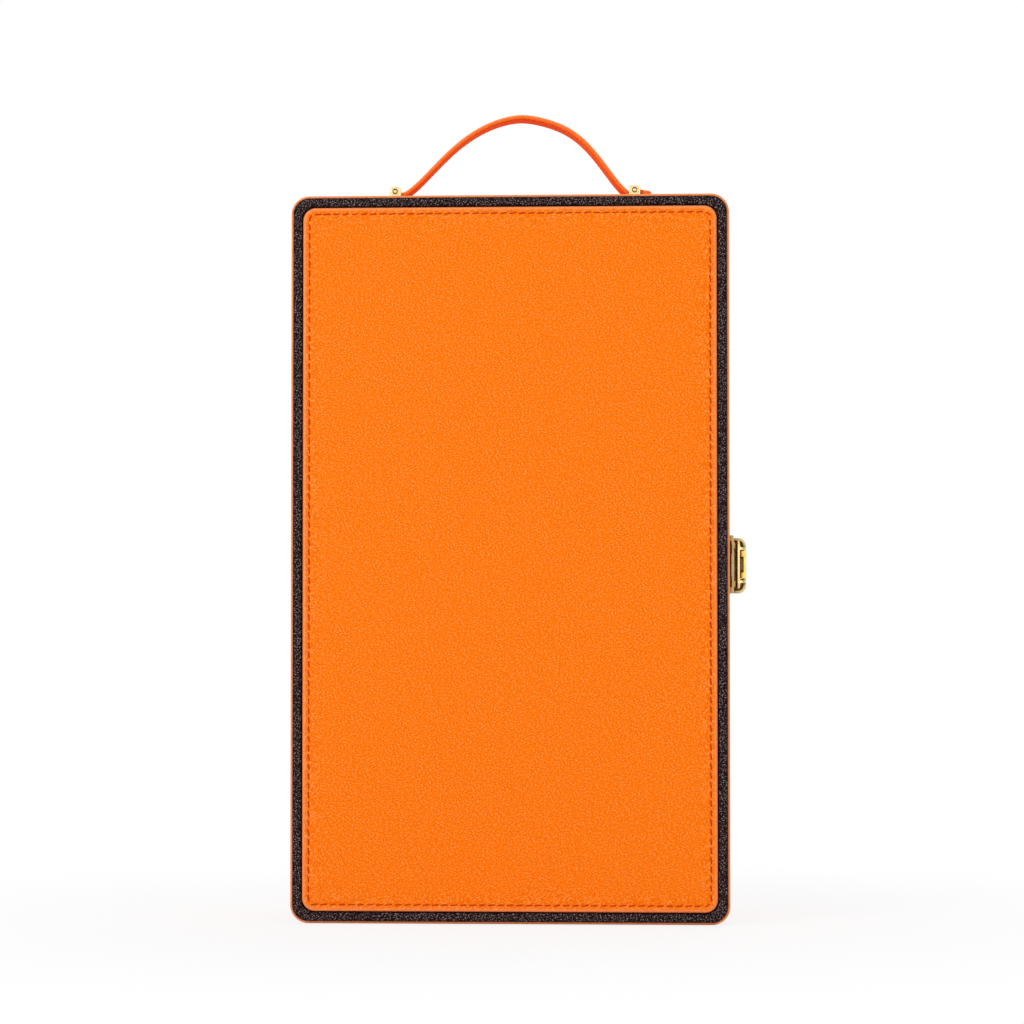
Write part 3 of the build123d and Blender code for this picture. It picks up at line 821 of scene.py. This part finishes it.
def foamBlock(name, outline, bottom, top, body, node, fill=0.95):
    # The outline is carried up the block and drawn in by a quarter circle at both ends
    line = softened(outline)
    step = np.roll(line, -1, 0) - np.roll(line, 1, 0)
    out = np.stack([step[:, 1], -step[:, 0]], 1) / np.hypot(*step.T)[:, None]
    area = np.sum(line[:, 0] * np.roll(line[:, 1], -1) - line[:, 1] * np.roll(line[:, 0], -1))
    out *= np.sign(area)
    angle = np.radians([0, 22, 45, 67, 90])
    draw = foam["softEnd"] * (1 - np.sin(angle))
    rise = foam["softEnd"] * (1 - np.cos(angle))
    z = np.concatenate([bottom + rise, np.linspace(bottom + 6, top - 6, 14), (top - rise)[::-1]])
    inset = np.concatenate([draw, np.zeros(14), draw[::-1]])
    plan = line[None] - out[None] * inset[:, None, None]
    sag = foam["sag"] * np.sin(z / 11)[:, None] * np.sin(plan[..., 0] / 15)
    height = np.broadcast_to(z[:, None], sag.shape)
    points = np.stack([plan[..., 0], plan[..., 1] + sag, height], -1)
    count = len(line)
    faces = gridFaces(len(z), count, closeColumns=True).tolist()
    faces += [list(range(count))[::-1], list(range((len(z) - 1) * count, len(z) * count))]
    piece = makePiece(name, points, faces, flockedFoam, "foam", sharpAngle=55)
    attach(piece, body)
    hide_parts(node)


seamCollar()
spineStrip()
bodySpan = (lined["bottom"] + foam["floorGap"], lined["bottom"] + bottles["bodyLength"])
neckSpan = (lined["top"] - bottles["neckLength"], lined["top"] - foam["floorGap"])
floorSide = lined["floor"] - foam["floorGap"]
cradleBody = channelOutline(foam["openFace"], floorSide, bottles["radius"])
cradleNeck = channelOutline(foam["openFace"], floorSide, bottles["neck"])
lidBody = channelOutline(foam["lidFace"], -floorSide, bottles["radius"])
lidNeck = channelOutline(foam["lidFace"], -floorSide, None)
foamBlock("body_cradle", cradleBody, *bodySpan, "case_back", "rear_body_cradle")
foamBlock("neck_cradle", cradleNeck, *neckSpan, "case_back", "rear_neck_cradle")
foamBlock("lid_body_pad", lidBody, *bodySpan, "lid", "front_body_pad")
foamBlock("lid_neck_pad", lidNeck, *neckSpan, "lid", "front_neck_pad")
print("interior made")


strap = {
    "width": 16.0,
    "thickness": 2.1,
    "skew": 1.3,            # the far edge lies this much to the left of the near edge
    "level": 344.85,
    "rise": 38.05,
    "apexX": 3.6,
    "keeperX": 57.5,
    "startX": 56.5,
    "fullness": 4.1,
    "shoulderLeft": 3.0,
    "shoulderRight": 5.6,
    "bendStart": 60.0,      # where the strap begins to move with the crown
    "bendLeft": (23.0, 54.0),    # where it moves fully: away from the apex, above the foot
    "bendRight": (28.0, 51.0),
    "tailLeft": (11.0, 3.6),    # length beyond the keeper, droop
    "tailRight": (6.1, 1.0),
    "tailStraight": 4.0,        # length that runs through the keeper
    "tailFold": 4.0,
    "foldGap": 0.03,
    "stitchInset": 1.6,
    "stitchStart": 4.0,
    "stitchPitch": 2.3,
    "stitchLength": 1.75,
    "threadThickness": 0.38,
    "threadSink": 0.16,
    "swell": 0.1,
    "groove": 0.14,
}


def sheared(y):
    # The far edge lies to the left of the near edge
    return -strap["skew"] * (y + strap["width"] / 2) / strap["width"]


def strapHeight(x):
    # With s from 0 at a keeper to 1 at the apex, the strap climbs by 4 s^3 - 3 s^4 and a fuller
    # shoulder, s^2 (1 - s)^2 (fullness + shoulder (1 - s)). Past the keepers its tails droop
    left = x < strap["apexX"]
    span = np.where(left, strap["apexX"] + strap["keeperX"], strap["keeperX"] - strap["apexX"])
    s = np.clip((strap["keeperX"] - np.where(left, -x, x)) / span, 0, 1)
    shoulder = np.where(left, strap["shoulderLeft"], strap["shoulderRight"])
    share = 4 * s**3 - 3 * s**4 + s**2 * (1 - s) ** 2 * (strap["fullness"] + shoulder * (1 - s))
    length, droop = (np.where(left, *pair) for pair in zip(strap["tailLeft"], strap["tailRight"]))
    beyond = smoothStep((np.abs(x) - strap["keeperX"]) / length)
    return strap["level"] + strap["rise"] * share - droop * beyond


def strapSection():
    # Outline of the strap across its width: nearly flat faces with a swell between the stitch
    # grooves, and painted edges rounded like half an ellipse
    half, thick = strap["width"] / 2, strap["thickness"] / 2
    u = np.sin(np.linspace(-np.pi / 2, np.pi / 2, 45))
    y = half * np.sign(u) * np.abs(u) ** 0.9
    row = half - strap["stitchInset"]
    edge = np.sqrt(np.clip(1 - np.clip((np.abs(y) - (half - thick)) / thick, 0, 1) ** 2, 0, 1))
    swell = strap["swell"] * (1 - smoothStep(np.abs(y) / row))
    groove = strap["groove"] * np.exp(-(((np.abs(y) - row) / 0.5) ** 2))
    height = thick * edge + swell - groove
    height[[0, -1]] = 0
    upper = np.stack([y, height], 1)
    lower = np.stack([y[-2:0:-1], -height[-2:0:-1]], 1)
    return np.concatenate([upper, lower])


def strapSurface(line, section):
    # The section carried along a line of (x, z) places, square to it and sheared. Its upper corners
    # carry a painted highlight
    way = np.gradient(line, axis=0)
    way /= np.hypot(*way.T)[:, None]
    normal = np.stack([-way[:, 1], way[:, 0]], 1)
    y, h = section.T
    points = np.empty((len(line), len(section), 3))
    points[..., 0] = line[:, :1] + normal[:, :1] * h + sheared(y)
    points[..., 1] = y
    points[..., 2] = line[:, 1:] + normal[:, 1:] * h
    count = len(section)
    faces = gridFaces(len(line), count, closeColumns=True).tolist()
    faces += [list(range(count)), list(range((len(line) - 1) * count, len(line) * count))[::-1]]
    # Painted highlight along the upper corners of the painted edges
    wornAndLitEdge = np.exp(-(((strap["thickness"] * 0.4 - h) / 0.3) ** 2))
    wornAndLitEdge = wornAndLitEdge * (np.abs(y) > strap["width"] / 2 - 1.2)
    return points, faces, np.tile(wornAndLitEdge, (len(line), 1))


def strapStitches(line, start, end):
    # Two rows on each face, at an even pitch along the line between two of its lengths
    length = lengthsAlong(line)
    s = np.arange(start + strap["stitchPitch"] / 2, min(end, length[-1]), strap["stitchPitch"])
    place = placesAt(s, length, line)
    way = placesAt(s + 0.2, length, line) - placesAt(s - 0.2, length, line)
    way /= np.hypot(*way.T)[:, None]
    row = strap["width"] / 2 - strap["stitchInset"]
    lift = strap["thickness"] / 2 - strap["threadSink"]
    centres, ways, ups = [], [], []
    for y in (-row, row):
        for face in (-1, 1):
            up = np.stack([-way[:, 1] * face, 0 * s, way[:, 0] * face], 1)
            centre = np.stack([place[:, 0] + sheared(y), 0 * s + y, place[:, 1]], 1)
            centres.append(centre + up * lift)
            ways.append(np.stack([way[:, 0], 0 * s, way[:, 1]], 1))
            ups.append(up)
    return threadStitches(
        np.concatenate(centres), np.concatenate(ways), np.concatenate(ups),
        strap["stitchLength"], strap["threadThickness"], slant=0.1, loft=0.05,
    )


def strapLeg(name, side):
    # From the keeper up to the apex
    apex, start = strap["apexX"], strap["startX"]
    x = np.linspace(side * start, apex, 110)
    line = np.stack([x, strapHeight(x)], 1)
    if side > 0:
        line = line[::-1]
    points, faces, wear = strapSurface(line, strapSection())
    piece = makePiece(
        f"strap_leg_{name}", points, faces, strapLeather, "strap_leather",
        sharpAngle=60, wear=wear,
    )
    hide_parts(f"handle_arm_{name}", "handle_crown")
    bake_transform(piece)
    total, margin = lengthsAlong(line)[-1], strap["stitchStart"]
    span = (margin, total) if side < 0 else (0.0, total - margin)
    points, faces, sunk = strapStitches(line, *span)
    thread = makePiece(
        f"strap_stitches_{name}", points, faces, orangeThread, "strap_leather", sunk=sunk
    )
    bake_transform(thread)


def strapTail(name, side):
    # Under the keeper's pin, out beyond it, then folded back over itself
    reach, droop = strap["tail" + name.capitalize()]
    start, end = strap["startX"], strap["keeperX"] + reach
    through = start + strap["tailStraight"]
    out = np.concatenate([np.linspace(start, through, 14), np.linspace(through, end, 22)[1:]])
    lower = np.stack([side * out, strapHeight(side * out)], 1)
    gap = strap["thickness"] / 2 + strap["foldGap"]
    turn = np.radians(np.linspace(-90, 90, 13))[1:-1]
    bend = np.stack([side * (end + gap * np.cos(turn)), lower[-1, 1] + gap * (1 + np.sin(turn))], 1)
    back = np.linspace(end, end - strap["tailFold"], 14)
    upper = np.stack([side * back, strapHeight(side * back) + 2 * gap], 1)
    line = np.concatenate([lower, bend, upper])
    section = strapSection() * [1, side]        # the left tail's line runs the other way
    points, faces, wear = strapSurface(line, section)
    piece = makePiece(
        f"strap_tail_{name}", points, faces, strapLeather, "strap_leather",
        sharpAngle=60, wear=wear,
    )
    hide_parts(f"handle_tail_{name}")
    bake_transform(piece)


for name, side in (("left", -1), ("right", 1)):
    strapLeg(name, side)
    strapTail(name, side)
print("strap sewn")


keeper = {
    "width": 5.4,
    "height": 9.2,
    "wall": 1.5,
    "gap": 8.6,             # from the strap's middle to the inside of a cheek
    "foot": 8.4,
    "base": 1.4,
    "corner": 1.0,
    "pinLevel": 7.1,
    "pinRadius": 0.75,
    "headRadius": 0.95,
    "head": 0.35,
    "recessRadius": 1.25,
    "recessLip": 0.12,
    "recess": 0.6,
    "cheekSoft": 0.55,
    "footCorner": 0.45,
    "footSoft": 0.3,
    "footMargin": 0.05,     # the foot ends this much inside the cheeks' outer faces
    "screwY": 4.6,
    "screwSeat": 0.5,       # height of the screws' seats above the case
    "screwSlots": (30, 75, 12, -48),
}
top = case["height"]


def slab(rings, centre):
    # A small solid through a stack of rounded rectangles about (x, z)
    return ringSolid(rings, turns=7, along=(4, 4), centre=centre)


def plateRings(width, height, corner, start, end, soft):
    # A plate between two depths with a quarter-circle softening along both outlines
    rings = []
    way = math.copysign(1.0, end - start)
    for angle in np.radians([0, 30, 60, 90]):
        away = 2 * soft * (1 - math.sin(angle))
        y = start + way * soft * (1 - math.cos(angle))
        rings.append((width - away, height - away, corner - away / 2, y))
    rings += [(w, h, c, start + end - y) for w, h, c, y in rings[::-1]]
    return rings


def gather(parts):
    # Several (points, faces) in one piece
    points, faces, count = [], [], 0
    for part, quads in parts:
        flat = part.reshape(-1, 3)
        points.append(flat)
        faces += [[k + count for k in quad] for quad in quads]
        count += len(flat)
    return np.concatenate(points), faces


def keeperBracket(name, side):
    # Two cheeks and a foot, each a softened plate, with a round recess for the pin in each cheek
    x = side * strap["keeperX"]
    middle = keeper["height"] / 2
    parts = []
    for across in (-1, 1):
        inner = across * keeper["gap"]
        outer = across * (keeper["gap"] + keeper["wall"])
        size = (keeper["width"], keeper["height"], keeper["corner"])
        rings = plateRings(*size, inner, outer, keeper["cheekSoft"])
        radius, lip = keeper["recessRadius"], keeper["recessLip"]
        raised = keeper["pinLevel"] - middle
        for r, depth in ((radius + lip, 0.0), (radius, lip), (radius, keeper["recess"])):
            rings.append((2 * r, 2 * r, r, outer - across * depth, raised))
        parts.append(slab(rings, (x, top + middle)))
    reach = keeper["gap"] + keeper["wall"] - keeper["footMargin"]
    size = (keeper["foot"], keeper["base"], keeper["footCorner"])
    rings = plateRings(*size, -reach, reach, keeper["footSoft"])
    parts.append(slab(rings, (x, top + keeper["base"] / 2)))
    points, faces = gather(parts)
    piece = makePiece(f"keeper_bracket_{name}", points, faces, gildedBrass, "gilt_brass")
    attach(piece, "case_back")
    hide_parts(f"keeper_{name}")


def lathe(profile, steps=32):
    # A profile of (radius, height) pairs turned about the local axis
    angle = np.linspace(0, 2 * np.pi, steps, endpoint=False)
    profile = np.array(profile)
    a = profile[:, :1] * np.cos(angle)
    b = profile[:, :1] * np.sin(angle)
    h = np.broadcast_to(profile[:, 1:], a.shape)
    return np.stack([a, b, h], -1), gridFaces(len(profile), steps, closeColumns=True).tolist()


screw = {"radius": 1.85, "dome": 0.4, "slotWidth": 0.55, "slotDepth": 0.42, "lift": 0.35}


def slottedHead():
    # Screw head: a dome (1 - share^2.6) over a polar grid, with a straight slot cut by soft steps
    # in both directions, closed below
    radius = screw["radius"]
    share = np.concatenate([np.linspace(0, 0.9, 14), [0.95, 0.985, 1.0]])[:, None]
    angle = np.linspace(0, 2 * np.pi, 48, endpoint=False)
    a, b = radius * share * np.cos(angle), radius * share * np.sin(angle)
    slot = smoothStep((screw["slotWidth"] / 2 + 0.06 - np.abs(b)) / 0.1)
    slot = slot * smoothStep((radius * 0.93 - np.abs(a)) / 0.12)
    h = screw["dome"] * (1 - share**2.6) - screw["slotDepth"] * slot
    below, _ = lathe([(radius, -0.25), (0.97 * radius, -0.3), (0.0, -0.3)], len(angle))
    points = np.concatenate([np.stack([a, b, h], -1), below])
    return points, gridFaces(len(points), len(angle), closeColumns=True).tolist()


def placed(points, seat, out, slotWay):
    # Local (a, b, h) turned so that h points out and a lies along the slot
    turned = np.array([slotWay, np.cross(out, slotWay), out], float)
    return np.array(seat) + points @ turned


def keeperPin(name, side):
    # A turned pin with a low head at each end, sunk in the cheeks' recesses
    x, z = side * strap["keeperX"], top + keeper["pinLevel"]
    seat = keeper["gap"] + keeper["wall"] - keeper["recess"]
    half = [(keeper["pinRadius"], seat), (keeper["headRadius"], seat)]
    crown = [(1.0, 0.55), (0.93, 0.8), (0.7, 0.95), (0.0, 1.0)]
    half += [(keeper["headRadius"] * r, seat + keeper["head"] * h) for r, h in crown]
    profile = [(r, -h) for r, h in half[::-1]] + half
    points, faces = lathe(profile)
    points = placed(points, (x, 0, z), (0, 1, 0), (1, 0, 0))
    piece = makePiece(f"keeper_cross_pin_{name}", points, faces, gildedBrass, "gilt_brass")
    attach(piece, "case_back")
    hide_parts(f"keeper_pin_{name}")


def screwHeads(name, node, seats, slots, body, onSide=True):
    # Heads on the case's right side or on its top, each with its slot turned by its own angle
    out = (1, 0, 0) if onSide else (0, 0, 1)
    head, faces = slottedHead()
    parts = []
    for seat, degrees in zip(seats, slots):
        a, b = math.cos(math.radians(degrees)), math.sin(math.radians(degrees))
        slotWay = (0.0, a, b) if onSide else (a, b, 0.0)
        parts.append((placed(head + [0, 0, screw["lift"]], seat, out, slotWay), faces))
    points, faces = gather(parts)
    piece = makePiece(name, points, faces, gildedBrass, "gilt_brass")
    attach(piece, body)
    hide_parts(node)


for name, side in (("left", -1), ("right", 1)):
    keeperBracket(name, side)
    keeperPin(name, side)

# x, y and distance from the latch's middle level of the seats, and the angles of the slots
latch = {
    "level": 167.5,
    "baseSeats": [(103.5, y, z) for y in (-10.0, 11.0) for z in (-8.5, 8.5)],
    "baseSlots": (20, 74, -35, 50),
    "catchSeats": [(104.4, -26.5, z) for z in (-9.0, 9.0)],
    "catchSlots": (62, 15),
}
for plate, body in (("base", "case_back"), ("catch", "lid")):
    seats = [(x, y, latch["level"] + z) for x, y, z in latch[plate + "Seats"]]
    names = (f"latch_{plate}_screw_heads", f"latch_{plate}_screws")
    screwHeads(*names, seats, latch[plate + "Slots"], body)
seats = [
    (side * strap["keeperX"], across * keeper["screwY"], top + keeper["screwSeat"])
    for side in (-1, 1)
    for across in (-1, 1)
]
screwHeads(
    "keeper_screw_heads", "keeper_screws", seats, keeper["screwSlots"], "case_back", onSide=False
)
print("fittings made")

cadFinishes = {
    "fibreboard": fibreBoard,
    "gilt_brass": gildedBrass,
    "orange_leather": orangeLeather,
    "black_leather": blackLeather,
    "strap_leather": strapLeather,
    "foam": flockedFoam,
    "lining": suedeLining,
    "padding": paddingFoam,
}
slotOf = {part["node"]: part["material_slot"] for part in frame["record"]["subparts"]}
for name, node in frame["nodes"].items():
    node.data.materials.clear()
    node.data.materials.append(cadFinishes[slotOf[name]])


view = {"place": (0.1003, -1.7, 0.1359), "turn": 3.44, "rise": 1.93, "lens": 124.6, "sensor": 36.0}
camera = bpy.data.objects.new("camera", bpy.data.cameras.new("camera"))
camera.data.sensor_width = view["sensor"]
camera.data.lens = view["lens"]
camera.location = view["place"]
camera.rotation_euler = (math.radians(90 + view["rise"]), 0.0, math.radians(view["turn"]))
bpy.context.scene.collection.objects.link(camera)
bpy.context.scene.camera = camera

lamps = {
    "key": {"place": (-1.7, -2.2, 1.3), "size": 0.9, "power": 34.0},
    "fill": {"place": (1.9, -1.8, 0.9), "size": 1.8, "power": 12.0},
    "back": {"place": (0.4, 1.9, 1.6), "size": 1.6, "power": 16.0},
}


def hangLamp(name, lamp, target=(0.0, 0.0, 0.17)):
    # A square soft lamp, turned to face the middle of the case
    light = bpy.data.lights.new(name, "AREA")
    light.shape = "SQUARE"
    light.size = lamp["size"]
    light.energy = lamp["power"]
    holder = bpy.data.objects.new(name, light)
    holder.location = lamp["place"]
    x, y, z = np.array(target) - np.array(lamp["place"])
    dip = math.atan2(z, math.hypot(x, y))
    holder.rotation_euler = (math.pi / 2 + dip, 0.0, math.atan2(y, x) - math.pi / 2)
    bpy.context.scene.collection.objects.link(holder)


for name, lamp in lamps.items():
    hangLamp(name, lamp)


def seenDirectly(tree):
    # 1 for rays from the camera and for those in reflections and glass, 0 for rays that carry light
    rays = addNode(tree, "LightPath").outputs
    most = mathNode(tree, "MAXIMUM", rays["Is Camera Ray"], rays["Is Glossy Ray"])
    return mathNode(tree, "MAXIMUM", most, rays["Is Transmission Ray"])


def mixShaders(tree, share, first, second, end):
    # The second shader takes a share of the first, and both feed the tree's end node
    joined = ((share, "Fac"), (first.outputs[0], 1), (second.outputs[0], 2))
    both = addNode(tree, "MixShader", *joined)
    tree.links.new(both.outputs[0], tree.nodes[end].inputs["Surface"])


room = {
    "light": (0.96, 0.98, 1.0, 1.0),
    "lightStrength": 0.57,
    "white": (1.0, 1.0, 1.0, 1.0),
    "floor": (0.9, 0.9, 0.9, 1.0),
    "floorRoughness": 0.9,
    "floorHalf": 6.0,
    "floorLevel": -0.0004,
    "fade": (0.1, 0.45),        # distances between which the floor turns white
    "whitened": (0.84, 1.0),    # how white it is before and after
}


def whiteRoom():
    # Plain white where it is looked at, and a dimmer, slightly cool light on the case
    world = bpy.data.worlds.new("studio")
    world.use_nodes = True
    bpy.context.scene.world = world
    tree = world.node_tree
    shown = addNode(tree, "Background", Color=room["white"], Strength=1.0)
    lighting = tree.nodes["Background"]
    lighting.inputs["Color"].default_value = room["light"]
    lighting.inputs["Strength"].default_value = room["lightStrength"]
    mixShaders(tree, seenDirectly(tree), lighting, shown, "World Output")


def paleFloor():
    # A matt floor that keeps the shadow near the case and turns white further out
    half = room["floorHalf"]
    corners = [(-half, -half), (half, -half), (half, half), (-half, half)]
    mesh = bpy.data.meshes.new("floor")
    mesh.from_pydata([(x, y, room["floorLevel"]) for x, y in corners], [], [(0, 1, 2, 3)])
    floor = bpy.data.objects.new("floor", mesh)
    bpy.context.scene.collection.objects.link(floor)
    pale = Finish("paleFloor")
    tree = pale.tree
    pale.set(Base_Color=room["floor"], Roughness=room["floorRoughness"], Specular_IOR_Level=0.0)
    glow = pale.add("Emission", Color=room["white"])
    distance = pale.add("VectorMath", (pale.place, 0))
    distance.operation = "LENGTH"
    fade = pale.span(distance.outputs["Value"], *room["fade"], *room["whitened"])
    amount = pale.combined("MULTIPLY", seenDirectly(tree), fade)
    mixShaders(tree, amount, pale.shader, glow, "Material Output")
    mesh.materials.append(pale.material)


whiteRoom()
paleFloor()
bpy.context.scene.view_settings.view_transform = "Standard"
print("stage set")
